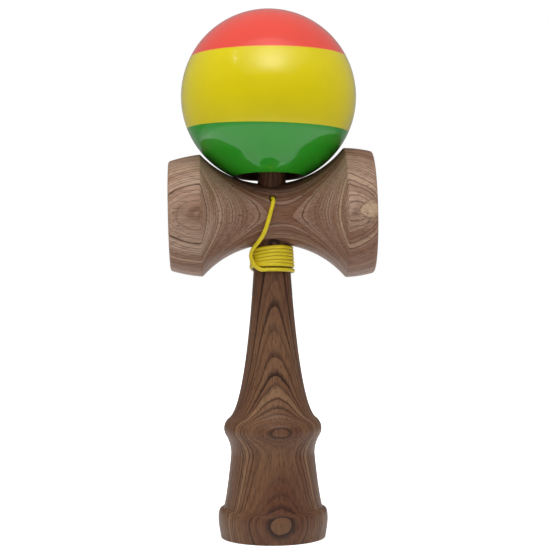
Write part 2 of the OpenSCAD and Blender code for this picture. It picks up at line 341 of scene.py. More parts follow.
def winding_route():
    """The turns between the end of the lead and the start of the riser."""
    start = atan2(LEAD_ROUTE[-1][1], LEAD_ROUTE[-1][0])
    end = atan2(RISER_ROUTE[0][1], RISER_ROUTE[0][0]) + (len(TURN_HEIGHTS) - 1) * 2 * pi
    count = round((end - start) / (2 * pi) * TURN_POINTS)
    return [turn_point(start + (end - start) * i / count) for i in range(1, count)]


def smooth_line(points, step):
    """A smooth curve through points, in short steps."""
    places = [Vector(point) for point in points]
    last = len(places) - 1
    ahead = [(places[min(i + 1, last)] - places[max(i - 1, 0)]).normalized() for i in range(last + 1)]
    line = []
    for a, b, leaving, arriving in zip(places, places[1:], ahead, ahead[1:]):
        third = (b - a).length / 3
        count = max(2, round(3 * third / step) + 1)
        line += interpolate_bezier(a, a + leaving * third, b - arriving * third, b, count)[:-1]
    return line + places[-1:]


string_line = smooth_line(LEAD_ROUTE + winding_route() + upper_route, ROUTE_STEP)

# %% [markdown]
# ## A braided cord
#
# The string is a thin braid of shiny fibre, about as thick as a shoelace's core. It could be a curve
# with a round bevel, but that would be as smooth as a wire. Here a Geometry Nodes tree sweeps a circle
# along the route and then pushes each point in or out. Two sets of strands wind around the cord in
# opposite directions, and where neither passes there is a small hollow. The strength of the push is
# also stored on the points, so that the material can paint shade into the hollows.

# %% Braid the string
STRING_SIDES = 24
BRAID_STRANDS = 6
BRAID_PITCH = 0.8
BRAID_RELIEF = 0.02
# The height on a strand, from 0 to 1, that lies at the cord's own radius
BRAID_LEVEL = 0.6


def capture(shape, value):
    """Stores a value on the points of a curve, and returns the curve and the stored value."""
    made = shape.tree.nodes.new("GeometryNodeCaptureAttribute")
    made.capture_items.new("FLOAT", "kept")
    feed(shape.tree, made.inputs, {"Geometry": shape, "kept": value})
    stored = wires(shape.tree, made.outputs)
    return stored["Geometry"], stored["kept"]


def strand_wave(count):
    """Rises from 0 to 1 and falls back once for each whole number."""
    return maths("ABSOLUTE", maths("SINE", count * pi))


def scaled(vector, factor):
    """A colour or vector times one wire."""
    return node(factor.tree, "ShaderNodeVectorMath", vector, operation="SCALE", named={"Scale": factor})


def end_tree(shape, given, result):
    """Ends a tree with real points in place of instances, and with its material."""
    shape = node(shape.tree, "GeometryNodeRealizeInstances", shape)
    shape = node(shape.tree, "GeometryNodeSetMaterial", shape, named={"Material": given["Material"]})
    feed(shape.tree, result, {"Geometry": shape})
    return shape.tree


def braid_tree():
    sockets = {"Geometry": "Geometry", "Diameter": "Float", "Sides": "Int", "Strands": "Float",
               "Pitch": "Float", "Relief": "Float", "Material": "Material"}
    tree, given, result = new_group("Braid", "GeometryNodeTree", sockets, {"Geometry": "Geometry"})
    middle = node(tree, "GeometryNodeMeshToCurve", given["Geometry"])
    middle, along = capture(middle, node(tree, "GeometryNodeSplineParameter", out="Length"))
    circle = node(tree, "GeometryNodeCurvePrimitiveCircle",
                  named={"Resolution": given["Sides"], "Radius": given["Diameter"] * 0.5})
    circle, around = capture(circle, node(tree, "GeometryNodeSplineParameter", out="Factor"))
    tube = node(tree, "GeometryNodeCurveToMesh",
                named={"Curve": middle, "Profile Curve": circle, "Fill Caps": True})
    across = around * given["Strands"]
    ahead = along / given["Pitch"]
    strand = strand_wave(across + ahead) * strand_wave(across - ahead)
    push = (strand - BRAID_LEVEL) * given["Relief"]
    outwards = scaled(node(tree, "GeometryNodeInputNormal"), push)
    tube = node(tree, "GeometryNodeSetPosition", tube, named={"Offset": outwards})
    tube = node(tree, "GeometryNodeStoreNamedAttribute", tube, named={"Name": "strand", "Value": strand})
    return end_tree(tube, given, result)


braid = braid_tree()
string_finish = bpy.data.materials.new("yellow_string")
braid_sizes = {"Diameter": STRING_D * MM, "Sides": STRING_SIDES, "Strands": BRAID_STRANDS,
               "Pitch": BRAID_PITCH * MM, "Relief": BRAID_RELIEF * MM, "Material": string_finish}
string = settle(grow(polyline("string_route", string_line), braid, braid_sizes), "string")

# %% [markdown]
# ## Two knots
#
# The string ends in a knot at both ends: one sits in a recess inside the handle, the other under the
# bead in the ball. Both are hidden when the toy stands on the table, but they show when it is taken
# apart or looked at from below. An overhand knot pulled tight is close to a trefoil, whose middle line
# is three sines and cosines, so the same braid tree can make it.

# %% Tie the knots
KNOT_STEPS = 120
KNOT_REACH_SHARE = 1 / 3
KNOT_SIDES = 14


def knot_line(centre, size):
    """The middle line of a small trefoil that fits in a ball of the given size."""
    reach = (size - STRING_D) / 2 * KNOT_REACH_SHARE
    line = []
    for i in range(KNOT_STEPS + 1):
        t = 2 * pi * i / KNOT_STEPS
        bend = Vector((sin(t) + 2 * sin(2 * t), cos(t) - 2 * cos(2 * t), -3 * sin(3 * t) / 2))
        line.append(centre + reach * bend)
    return line


def tie_knot(node_name, name, body):
    """A knot in the place of one of the frame's knots."""
    low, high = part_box(node_name)
    line = knot_line((low + high) / 2 / MM, (high.x - low.x) / MM)
    sizes = {**braid_sizes, "Sides": KNOT_SIDES}
    knot = settle(grow(polyline(name + "_line", line), braid, sizes), name)
    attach(knot, body)
    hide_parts(node_name)
    return knot


handle_knot = tie_knot("ken_knot", "handle_knot", "ken")
bead_knot = tie_knot("bead_knot", "bead_end_knot", "string_end")

# %% [markdown]
# ## A lathe made of nodes
#
# The handle, the cross piece, the ball and the bead are all turned. A turner's lathe spins the wood
# and the tool follows an outline; the nodes do the same. A grid gets one row for each point of the
# outline and one column for each step around. Every grid point then takes the radius and height of its
# row and the angle of its column. The last node puts the piece in its place, so that the finished
# object can sit at the origin, and the points along the seam and at the poles are merged.


# %% Build the lathe
def lathe_tree():
    sockets = {"Geometry": "Geometry", "Points": "Int", "Steps": "Int", "Place": "Vector",
               "Turn": "Rotation", "Merge": "Float", "Material": "Material"}
    tree, given, result = new_group("Lathe", "GeometryNodeTree", sockets, {"Geometry": "Geometry"})
    columns = given["Steps"] + 1
    grid = node(tree, "GeometryNodeMeshGrid",
                named={"Vertices X": given["Points"], "Vertices Y": columns})
    index = node(tree, "GeometryNodeInputIndex")
    row = maths("FLOOR", (index + 0.5) / columns)
    column = index - row * columns
    position = node(tree, "GeometryNodeInputPosition")
    outline = node(tree, "GeometryNodeSampleIndex", given["Geometry"], data_type="FLOAT_VECTOR",
                   domain="POINT", named={"Value": position, "Index": row})
    spin = node(tree, "ShaderNodeCombineXYZ", 0.0, 0.0, column / given["Steps"] * (2 * pi))
    spun = node(tree, "ShaderNodeVectorRotate", rotation_type="EULER_XYZ",
                named={"Vector": outline, "Rotation": spin})
    turned = node(tree, "GeometryNodeSetPosition", grid, named={"Position": spun})
    turned = node(tree, "GeometryNodeMergeByDistance", turned, named={"Distance": given["Merge"]})
    turned = node(tree, "GeometryNodeTransform", turned,
                  named={"Translation": given["Place"], "Rotation": given["Turn"]})
    return end_tree(turned, given, result)


lathe = lathe_tree()
print("lathe:", len(lathe.nodes), "nodes")


def turn(name, outline, steps, finish, place=(0, 0, 0), tilt=(0, 0, 0)):
    """A turned piece from its outline of (radius, height), in millimetres, still with its modifier."""
    line = polyline(name + "_outline", [(radius, 0, height) for radius, height in outline])
    return grow(line, lathe, {
        "Points": len(outline), "Steps": steps, "Place": Vector(place) * MM, "Turn": tilt,
        "Merge": MERGE_DISTANCE, "Material": finish})


# %% [markdown]
# ## Outlines
#
# An outline is a row of stretches: arcs, straight lines and cubic curves, in the same sizes as the CAD
# model. Real turned edges are never knife sharp, because they are sanded before the oil goes on. So
# where two stretches meet, both are cut back a little and a small curve joins them.


# %% Draw stretches and join them
CORNER_STEPS = 6
# How far a corner's curve is drawn towards the corner, and the most that is cut off the last short step
CORNER_PULL = 2 / 3
MOST_CUT = 0.95


def straight(start, end, steps=2):
    return [Vector(start).lerp(Vector(end), i / steps) for i in range(steps + 1)]


def arc(centre, radius, first, last, steps):
    """Points on a circle between two angles in radians."""
    angles = [first + (last - first) * i / steps for i in range(steps + 1)]
    return [Vector(centre) + radius * Vector((cos(angle), sin(angle))) for angle in angles]


def cubic(start, leaving, arriving, end, steps):
    points = [Vector((*point, 0)) for point in (start, leaving, arriving, end)]
    return [point.to_2d() for point in interpolate_bezier(*points, steps + 1)]


def cut_back(points, length):
    """The points without the last stretch of the given length."""
    points = list(points)
    while len(points) > 2 and (points[-1] - points[-2]).length <= length:
        length -= (points[-1] - points[-2]).length
        points.pop()
    gap = (points[-1] - points[-2]).length
    points[-1] = points[-1].lerp(points[-2], min(length / gap, MOST_CUT))
    return points


def join(stretches, roundings):
    """One outline from stretches that meet end to end, with a small curve where each two meet."""
    outline = list(stretches[0])
    for stretch, rounding in zip(stretches[1:], roundings):
        corner = stretch[0]
        outline = cut_back(outline, rounding)
        rest = cut_back(reversed(stretch), rounding)[::-1]
        leaving = outline[-1].lerp(corner, CORNER_PULL)
        arriving = rest[0].lerp(corner, CORNER_PULL)
        bend = cubic(outline[-1], leaving, arriving, rest[0], CORNER_STEPS)
        outline += bend[1:-1] + rest
    return outline


def bowl(mouth, depth, steps):
    """Half of a cup's hollow, from its middle out to its mouth, which lies at height 0."""
    radius = (mouth * mouth + depth * depth) / (2 * depth)
    return arc((0, radius - depth), radius, -pi / 2, -pi / 2 + asin(mouth / radius), steps)


corner = join([straight((0, 0), (1, 0)), straight((1, 0), (1, 1))], [0.2])
print("a square corner with its edge rounded has", len(corner), "points")

# %% [markdown]
# ## The handle
#
# The handle is one piece from the base cup to the spike. From below: the cup's hollow, the rim that it
# stands on, a rounded base ring, a grip that narrows and swells into a round edge, and one long sweep
# up to the neck. There the taper starts that holds the cross piece and ends in the spike. It could be
# shaped by hand from a cylinder, but an outline in the CAD model's sizes keeps every edge where the
# frame has it.

# %% Turn the handle
FOOT_R, FOOT_EDGE = 17.95, 0.5
BASE_R, BASE_BELLY_Z, BASE_H = 18.8, 6.4, 10.25
LEDGE_R, GRIP_FOOT_R = 17.4, 17.15
BASE_CUP_R, BASE_CUP_DEPTH = 15.6, 6
CUP_EDGE, CREASE_EDGE = 0.4, 0.08
GRIP_WAIST = Vector((14.4, 29))
BULGE_R, BULGE_Z, BULGE_ROUND = 16.8, 37.5, 4.5
BULGE_LOW, BULGE_HIGH = radians(-34), radians(53)
NECK = Vector((5.85, 100.65))
SPIKE_END_R, SPIKE_ROUND_H = 3.5, 3.5
SPIKE_TIP_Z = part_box("ken")[1].z / MM
# How far each curve keeps the direction of its start and of its end, as shares of its climb
RING_PULL, SHOULDER_PULLS = 0.3, (0.8, 0.25)
FLARE_PULL, RISE_PULLS, SWEEP_PULLS = 0.06, (0.58, 0.03), (0.14, 0.02)
FLARE_WAY = Vector((-0.84, 1))
TIP_STEPS = 12
STEPS_AROUND = 240


def handle_outline():
    up = Vector((0, 1))
    cup = [Vector((point.x, -point.y)) for point in bowl(BASE_CUP_R, BASE_CUP_DEPTH, steps=28)]
    rim = straight((BASE_CUP_R, 0), (FOOT_R, 0))

    foot = Vector((FOOT_R, 0))
    belly = Vector((BASE_R, BASE_BELLY_Z))
    ledge = Vector((LEDGE_R, BASE_H))
    ring = cubic(foot, foot + (belly - foot) * RING_PULL, belly - RING_PULL * belly.y * up, belly, steps=14)
    climb = BASE_H - BASE_BELLY_Z
    leaving, arriving = SHOULDER_PULLS[0] * climb * up, Vector((SHOULDER_PULLS[1] * climb, 0))
    shoulder = cubic(belly, belly + leaving, ledge + arriving, ledge, steps=20)
    crease = straight(ledge, (GRIP_FOOT_R, BASE_H))

    grip_foot = Vector((GRIP_FOOT_R, BASE_H))
    pull = FLARE_PULL * (GRIP_WAIST.y - BASE_H)
    flare = cubic(grip_foot, grip_foot + pull * FLARE_WAY, GRIP_WAIST - pull * up, GRIP_WAIST, steps=30)
    bulge = arc((BULGE_R - BULGE_ROUND, BULGE_Z), BULGE_ROUND, BULGE_LOW, BULGE_HIGH, steps=22)
    climb = bulge[0].y - GRIP_WAIST.y
    leaving = RISE_PULLS[0] * climb * up
    arriving = RISE_PULLS[1] * climb * Vector((sin(-BULGE_LOW), cos(BULGE_LOW)))
    rise = cubic(GRIP_WAIST, GRIP_WAIST + leaving, bulge[0] - arriving, bulge[0], steps=16)

    spike_end = Vector((SPIKE_END_R, SPIKE_TIP_Z - SPIKE_ROUND_H))
    taper = (spike_end - NECK) / (spike_end.y - NECK.y)
    climb = NECK.y - bulge[-1].y
    leaving = SWEEP_PULLS[0] * climb * Vector((-sin(BULGE_HIGH), cos(BULGE_HIGH)))
    sweep = cubic(bulge[-1], bulge[-1] + leaving, NECK - SWEEP_PULLS[1] * climb * taper, NECK, steps=56)
    spike = straight(NECK, spike_end, steps=30)
    angles = [pi / 2 * i / TIP_STEPS for i in range(TIP_STEPS + 1)]
    tip = [Vector((SPIKE_END_R * cos(angle), spike_end.y + SPIKE_ROUND_H * sin(angle))) for angle in angles]
    base = ring + shoulder[1:]
    upper = flare + rise[1:] + bulge[1:] + sweep[1:] + spike[1:] + tip[1:]
    return join([cup, rim, base, crease, upper], [CUP_EDGE, FOOT_EDGE, CREASE_EDGE, CREASE_EDGE])


handle_finish = bpy.data.materials.new("oiled_dark_wood")
handle_line = handle_outline()
handle_blank = turn("handle", handle_line, STEPS_AROUND, handle_finish)
print("handle outline:", len(handle_line), "points,", round(handle_line[-1].y, 1), "mm high")

# %% [markdown]
# ## Drilling
#
# A hole is cut with a Boolean modifier, as a drill would cut it. The cutter is a plain cylinder or cone
# that is removed again. The handle has a thin string hole from the front and a wider recess for the
# knot behind it, so the knot cannot slip through.

# %% Drill the handle
CUTTER_STEPS = 72
STRING_HOLE_R, STRING_HOLE_END_Y = 1.2, 1
STRING_HOLE_Z = 116
KNOT_RECESS_R, KNOT_SEAT_Y = 1.9, 0.5
DRILL_REACH = 12


def cutter(name, start, end, start_r, end_r):
    """A cylinder or cone between two points in millimetres, to cut with."""
    start, end = Vector(start) * MM, Vector(end) * MM
    shape = bmesh.new()
    bmesh.ops.create_cone(shape, cap_ends=True, segments=CUTTER_STEPS, radius1=start_r * MM,
                          radius2=end_r * MM, depth=(end - start).length)
    turned = (end - start).to_track_quat("Z", "Y").to_matrix().to_4x4()
    shape.transform(Matrix.Translation((start + end) / 2) @ turned)
    mesh = bpy.data.meshes.new(name)
    shape.to_mesh(mesh)
    shape.free()
    return put(name, mesh)


def level_drill(name, start_y, end_y, radius):
    """A drill from front to back at the height of the string hole."""
    return cutter(name, (0, start_y, STRING_HOLE_Z), (0, end_y, STRING_HOLE_Z), radius, radius)


def drill(blank, name, cutters):
    """Cuts the cutters out of a turned blank and settles it into a plain mesh."""
    for tool in cutters:
        cut = blank.modifiers.new(tool.name, "BOOLEAN")
        cut.operation = "DIFFERENCE"
        cut.solver = "EXACT"
        cut.object = tool
    piece = settle(blank, name)
    for tool in cutters:
        bpy.data.objects.remove(tool)
    return piece


handle = drill(handle_blank, "handle", [
    level_drill("string_drill", -DRILL_REACH, STRING_HOLE_END_Y, STRING_HOLE_R),
    level_drill("knot_drill", KNOT_SEAT_Y, DRILL_REACH, KNOT_RECESS_R),
])
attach(handle, "ken")
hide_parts("ken")

# %% [markdown]
# ## The cross piece
#
# The cross piece is turned about its own axis, which lies across the handle and leans a little. Its
# flanks are one hollow arc, in which the ball rests. Past the sharp shoulders two crowned bands narrow
# to the rims of the big cup and the small cup. A tapered hole takes the handle, and a thin one the
# string. Turning it upright and tilting it over is simpler than building it lying down, and the same
# function can shape both ends.

# %% Turn and drill the cross piece
CROSS_HALF = 34.9
CROSS_Z = 111
CROSS_LEAN = radians(1)
CROSS_TILT = pi / 2 - CROSS_LEAN
# A little to the left, so that the ball touches both sides of the waist
CROSS_SHIFT = -0.15
WAIST_R, FLANK_R = 10.35, 32.5
HOLLOW_CENTRE = WAIST_R + FLANK_R
BIG_SHOULDER, SMALL_SHOULDER = 25.1, 24
BIG_RIM_R, SMALL_RIM_R = 20.8, 18.7
BIG_CUP_DEPTH, SMALL_CUP_DEPTH = 8, 7
CUP_LIP = 1.8
RIM_EDGE, LIP_EDGE, SHOULDER_EDGE = 0.9, 0.4, 0.5
BAND_CROWN = 0.4
HOLE_GAP = 0.05


def end_stretches(shoulder, rim_r, cup_depth):
    """The band, the lip and the cup of one end, from its shoulder outwards."""
    start = Vector((HOLLOW_CENTRE - sqrt(FLANK_R ** 2 - shoulder ** 2), shoulder))
    end = Vector((rim_r, CROSS_HALF))
    crown = Vector((BAND_CROWN, 0))
    band = cubic(start, start.lerp(end, 1 / 3) + crown, start.lerp(end, 2 / 3) + crown, end, steps=18)
    lip = straight(end, (rim_r - CUP_LIP, CROSS_HALF))
    hollow = bowl(rim_r - CUP_LIP, cup_depth, steps=30)
    cup = [point + Vector((0, CROSS_HALF)) for point in reversed(hollow)]
    return [band, lip, cup]


def cross_outline():
    big = end_stretches(BIG_SHOULDER, BIG_RIM_R, BIG_CUP_DEPTH)
    small = [[Vector((point.x, -point.y)) for point in reversed(stretch)]
             for stretch in reversed(end_stretches(SMALL_SHOULDER, SMALL_RIM_R, SMALL_CUP_DEPTH))]
    low, high = asin(SMALL_SHOULDER / FLANK_R), asin(BIG_SHOULDER / FLANK_R)
    flank = arc((HOLLOW_CENTRE, 0), FLANK_R, pi + low, pi - high, steps=96)
    edges = [LIP_EDGE, RIM_EDGE, SHOULDER_EDGE, SHOULDER_EDGE, RIM_EDGE, LIP_EDGE]
    return join([*small, flank, *big], edges)


def taper_radius(height):
    spike_end_z = SPIKE_TIP_Z - SPIKE_ROUND_H
    return NECK.x + (SPIKE_END_R - NECK.x) * (height - NECK.y) / (spike_end_z - NECK.y)


cross_finish = bpy.data.materials.new("oiled_grey_wood")
cross_blank = turn("cross_piece", cross_outline(), STEPS_AROUND, cross_finish,
                   place=(CROSS_SHIFT, 0, CROSS_Z), tilt=(0, CROSS_TILT, 0))
bore_low, bore_high = CROSS_Z - 2 * WAIST_R, CROSS_Z + 2 * WAIST_R
cross_piece = drill(cross_blank, "cross_piece", [
    cutter("taper_reamer", (0, 0, bore_low), (0, 0, bore_high), taper_radius(bore_low) + HOLE_GAP,
           taper_radius(bore_high) + HOLE_GAP),
    level_drill("string_drill", -2 * WAIST_R, 0, STRING_HOLE_R),
])
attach(cross_piece, "ken")
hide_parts("sarado")

# %% [markdown]
# ## The ball
#
# The ball is a sphere with a wide hole from below, which goes up past its middle, and a thin string
# hole through its top. A sphere with two Boolean cuts would do, but the lathe can turn the outside and
# both holes from one closed outline, and it keeps the lip of the hole clean. The ball leans back a
# little, as it came to rest on the spike, so both holes follow the axis of the frame's spin joint.

# %% Turn the ball
BORE_R, BORE_RISE, MOUTH_BEVEL = 11.2, 15, 0.5
TOP_HOLE_R, TOP_COUNTERSINK = 1.8, 1
BALL_EDGES = [0.15, 0.2, 0.3, 0.3, 0.2, 0.6]
BALL_TILT = (-BALL_LEAN, 0, 0)
# The frame leaves a hair's breadth under the ball; along its own hole it comes down on the cross piece
BALL_SINK = 0.19


def ball_outline():
    """A closed outline: up the string hole, round the outside, and back up the wide hole."""
    entry_r, mouth_r = TOP_HOLE_R + TOP_COUNTERSINK, BORE_R + MOUTH_BEVEL
    entry_z, mouth_z = sqrt(BALL_R ** 2 - entry_r ** 2), -sqrt(BALL_R ** 2 - mouth_r ** 2)
    roof = straight((BORE_R / 2, BORE_RISE), (TOP_HOLE_R, BORE_RISE), steps=6)
    hole = straight(roof[-1], (TOP_HOLE_R, entry_z - TOP_COUNTERSINK), steps=8)
    countersink = straight(hole[-1], (entry_r, entry_z), steps=3)
    outside = arc((0, 0), BALL_R, atan2(entry_z, entry_r), atan2(mouth_z, mouth_r), steps=120)
    bevel = straight(outside[-1], (BORE_R, mouth_z + MOUTH_BEVEL), steps=3)
    wall = straight(bevel[-1], (BORE_R, BORE_RISE), steps=24)
    back = straight(wall[-1], roof[0], steps=6)
    return join([roof, hole, countersink, outside, bevel, wall, back], BALL_EDGES)


ball_finish = bpy.data.materials.new("striped_lacquer")
ball_place = on_ball(0, -BALL_SINK)
ball = settle(turn("ball", ball_outline(), STEPS_AROUND, ball_finish, ball_place, BALL_TILT), "ball")
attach(ball, "tama")
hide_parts("tama")
print("ball centre:", [round(side, 2) for side in BALL_CENTRE], "radius", round(BALL_R, 2))

# %% [markdown]
# ## The bead
#
# Inside the ball hangs a small turned bead. The string runs through it and ends in a knot, so the ball
# cannot slip off, and it can spin without twisting the string. Nobody sees the bead while the toy
# stands, but it shows from below once the ball is lifted. It is turned on the same lathe, with the size
# and the place of the frame's bead.

# %% Turn the bead
bead_low, bead_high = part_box("string_bead")
BEAD_R = (bead_high.x - bead_low.x) / 2 / MM
BEAD_HOLE_R, BEAD_EDGE = 1.2, 0.25
BEAD_STEPS_AROUND = 60


def bead_outline():
    """A closed outline: round the outside, and back up the string hole."""
    end_z = sqrt(BEAD_R ** 2 - BEAD_HOLE_R ** 2)
    outside = arc((0, 0), BEAD_R, atan2(end_z, BEAD_HOLE_R), atan2(-end_z, BEAD_HOLE_R), steps=48)
    low_wall = straight((BEAD_HOLE_R, -end_z), (BEAD_HOLE_R, 0), steps=6)
    high_wall = straight((BEAD_HOLE_R, 0), (BEAD_HOLE_R, end_z), steps=6)
    return join([high_wall, outside, low_wall], [BEAD_EDGE, BEAD_EDGE])


bead_finish = bpy.data.materials.new("pale_bead_wood")
bead_centre = (bead_low + bead_high) / 2 / MM
bead = settle(turn("bead", bead_outline(), BEAD_STEPS_AROUND, bead_finish, bead_centre, BALL_TILT), "bead")
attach(bead, "string_end")
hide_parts("string_bead")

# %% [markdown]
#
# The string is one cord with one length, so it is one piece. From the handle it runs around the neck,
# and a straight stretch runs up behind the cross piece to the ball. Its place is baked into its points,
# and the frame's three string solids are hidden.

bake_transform(string)
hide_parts("string_lead", "string_winding", "string_riser")

# %% [markdown]
# ## Colours
#
# A picture stores colours in sRGB, where equal steps look equal to the eye, but Blender's shaders work
# with amounts of light. One function turns the first into the second, so the colours below can be read
# as they would be in any paint program. Two more shorten what every finish needs: a soft threshold and
# a mix of two colours.


# %% Mix colours
def paint(red, green, blue):
    """A colour given as in a picture, 0 to 255, as amounts of light."""
    light = []
    for part in (red / 255, green / 255, blue / 255):
        light.append(part / 12.92 if part <= 0.04045 else ((part + 0.055) / 1.055) ** 2.4)
    return (*light, 1)


def fade(value, start, end, low=0.0, high=1.0):
    """A soft step from low to high while the value goes from start to end."""
    return node(value.tree, "ShaderNodeMapRange", value, start, end, low, high,
                interpolation_type="SMOOTHSTEP")


def mix(share, first, second):
    """A mix of two colours, whose sockets are numbers 6 and 7 of the node's many inputs."""
    return node(share.tree, "ShaderNodeMix", out=2, data_type="RGBA", named={0: share, 6: first, 7: second})


print("a picture's middle grey, 128 of 255, is", round(paint(128, 128, 128)[0], 3), "of white's light")

# %% [markdown]
# ## Places and noise
#
# A finish that is worked out has to know where on the piece it is. Object coordinates say that, and
# since every piece sits at the origin they are the toy's own millimetres once they are scaled. From
# them come distances, and noise that is stretched along the grain. White noise gives each whole number
# a value of its own, as if drawn at random, but the same one in every render.


# %% Measure places and make noise
def figure_point(tree, place=(0, 0, 0), turned=(0, 0, 0)):
    """Object coordinates in millimetres, centred and turned for one piece."""
    return node(tree, "ShaderNodeMapping", node(tree, "ShaderNodeTexCoord", out="Object"),
                vector_type="TEXTURE",
                named={"Location": Vector(place) * MM, "Rotation": turned, "Scale": (MM, MM, MM)})


def split(point):
    """The three coordinates of a point."""
    parts = node(point.tree, "ShaderNodeSeparateXYZ", point).socket.node.outputs
    return [Wire(point.tree, part) for part in parts]


def from_axis(first, second):
    """The distance from an axis, by the two coordinates across it."""
    return maths("SQRT", first * first + second * second)


def vector_maths(operation, first, *others, out="Vector"):
    return node(first.tree, "ShaderNodeVectorMath", first, *others, operation=operation, out=out)


def noise(point, stretch, detail=2.0):
    """Noise from 0 to 1, with its own scale along each axis."""
    return node(point.tree, "ShaderNodeTexNoise", vector_maths("MULTIPLY", point, stretch),
                named={"Scale": 1.0, "Detail": detail})


def noise_along(place):
    """Noise from 0 to 1 along one number."""
    return node(place.tree, "ShaderNodeTexNoise", noise_dimensions="1D",
                named={"W": place, "Scale": 1.0, "Detail": 1.0})


def chance(number):
    """A value from 0 to 1 that seems drawn at random, but stays the same for the same number."""
    return node(number.tree, "ShaderNodeTexWhiteNoise", noise_dimensions="1D", named={"W": number})


print("figures and noise count in units of", MM, "m")

# %% [markdown]
# ## Wood
#
# A tree adds one ring a year, so a board is a stack of thin shells around the pith. Where a turned
# surface cuts these shells at a slant, they show as loops and arches. A flat picture of wood grain
# wrapped around the piece could not do that. This shader group works out how deep each point lies in
# the stack, and the figure follows by itself: bull's-eyes where the piece swells, long arches where it
# tapers. Noise bends the shells, varies their width and adds fibres and pores. The wood gets ruddier in
# patches, painted shade makes it ruddier where it lies less deep than a given depth, and each year has
# its own tint. One knot can push the shells aside, and one pale layer of sapwood can run through the stack.

# %% Grow the wood
# How often each noise repeats per millimetre, across the grain and along it
SLOW_BEND, QUICK_BEND = (0.07, 0.07, 0.028), (0.35, 0.35, 0.11)
FIBRE_GRAIN, PORE_GRAIN, PATCH_GRAIN = (1.7, 1.7, 0.1), (2.8, 2.8, 0.28), (0.05, 0.2, 0.04)
QUICK_SHARE = 0.32
UNEVEN_RATE, UNEVEN_SHARE = 0.37, 1.1
# Late wood darkens towards the end of each year's ring and stops there with a sharp edge
LATE_FULL, LATE_STOP = 0.92, 0.955
FAINTEST_RING, STRONG_FROM = 0.3, 0.9
PORE_RANGE, PATCH_RANGE = (0.575, 0.71), (0.35, 0.75)
# Painted shade: the wood turns ruddier where a point lies less deep than a given depth, which slants across
# the piece
SHADE_SLANT, SHADE_BLUR = 0.2, 5.0
PATCH_MOST, RUDDY_SHARE, YEAR_TINT = 0.8, 0.75, (-0.1, 0.35)
PALE_RANGE, PALE_SHARE = (0.62, 0.38), 0.6
# A knot, in shares of its size: how far it lifts the shells, its ragged core and the crack around it
KNOT_LIFT_RANGE, KNOT_RAGGED = (2.4, 0.3), 0.9
CORE_RANGE, CRACK_RANGE, CORE_SHARE, CRACK_SHARE = (1.0, 0.8), (0.72, 0.86), 0.8, 0.7
PORE_DARK = 0.42
OIL_ROUGHNESS, FIBRE_ROUGH, PORE_ROUGH = 0.47, 0.25, 0.15
FIBRE_RISE, LATE_SINK = 0.8, 0.25


def wood_tree():
    numbers = ("Ring Width", "Ring Shift", "Late Start", "Pith", "Wander", "Painted Shade Depth", "Pale Depth",
               "Pale Width", "Knot Size", "Knot Lift")
    inputs = {**dict.fromkeys(("Point", "Knot"), "Vector"), **dict.fromkeys(numbers, "Float"),
              **dict.fromkeys(("Early", "Late", "Ruddy", "Pale"), "Color")}
    outputs = {"Color": "Color", "Roughness": "Float", "Height": "Float"}
    tree, given, result = new_group("Wood Figure", "ShaderNodeTree", inputs, outputs)
    point = given["Point"]
    beside, behind, _ = split(point)

    # How deep a point lies in the stack of shells, with the shells bent a little
    slow = noise(point, SLOW_BEND) - 0.5
    quick = noise(point, QUICK_BEND, 3.0) - 0.5
    bend = (slow + quick * QUICK_SHARE) * given["Wander"]
    depth = from_axis(beside, behind - given["Pith"]) - given["Pith"] + bend
    from_knot = vector_maths("DISTANCE", point, given["Knot"], out="Value") / given["Knot Size"]
    depth = depth + fade(from_knot, *KNOT_LIFT_RANGE) * given["Knot Lift"]

    # Rings of uneven width, each with its own strength
    place = (depth - given["Ring Shift"]) / given["Ring Width"]
    place = place + (noise_along(place * UNEVEN_RATE) - 0.5) * UNEVEN_SHARE
    ring = maths("FLOOR", place)
    share = maths("FRACT", place)
    strength = fade(chance(ring), 0.0, STRONG_FROM, FAINTEST_RING, 1.0)
    late = fade(share, given["Late Start"], LATE_FULL) * fade(share, 1.0, LATE_STOP) * strength

    # Fibres and pores run along the piece
    fibre = noise(point, FIBRE_GRAIN, 3.0) - 0.5
    pores = fade(noise(point, PORE_GRAIN, 1.0), *PORE_RANGE)

    # The wood is ruddier in patches and in some years, and painted shade makes it ruddier where it lies
    # less deep than a given depth
    patch = fade(noise(point, PATCH_GRAIN), *PATCH_RANGE, 0.0, PATCH_MOST)
    painted_shade = fade(depth - beside * SHADE_SLANT - given["Painted Shade Depth"], SHADE_BLUR, -SHADE_BLUR)
    year = fade(chance(ring + 0.5), 0.0, 1.0, *YEAR_TINT)
    ruddy_and_shade = maths("MAXIMUM", patch, painted_shade) * RUDDY_SHARE + year
    color = mix(ruddy_and_shade, given["Early"], given["Ruddy"])
    color = mix(late, color, given["Late"])
    from_pale = maths("ABSOLUTE", depth - given["Pale Depth"]) / given["Pale Width"]
    color = mix(fade(from_pale, *PALE_RANGE) * PALE_SHARE, color, given["Pale"])

    # The knot is pale, with a dark crack inside its edge
    ragged = from_knot + quick * KNOT_RAGGED
    core = fade(ragged, *CORE_RANGE)
    crack = core * fade(ragged, *CRACK_RANGE)
    color = mix(core * CORE_SHARE, color, given["Pale"])
    color = mix(crack * CRACK_SHARE, color, given["Late"])
    feed(tree, result, {
        "Color": scaled(color, fibre + 1.0 - pores * PORE_DARK),
        "Roughness": fibre * FIBRE_ROUGH + pores * PORE_ROUGH + OIL_ROUGHNESS,
        "Height": fibre * FIBRE_RISE - pores - late * LATE_SINK})
    return tree


wood_figure = wood_tree()
print("wood figure:", len(wood_figure.nodes), "nodes")
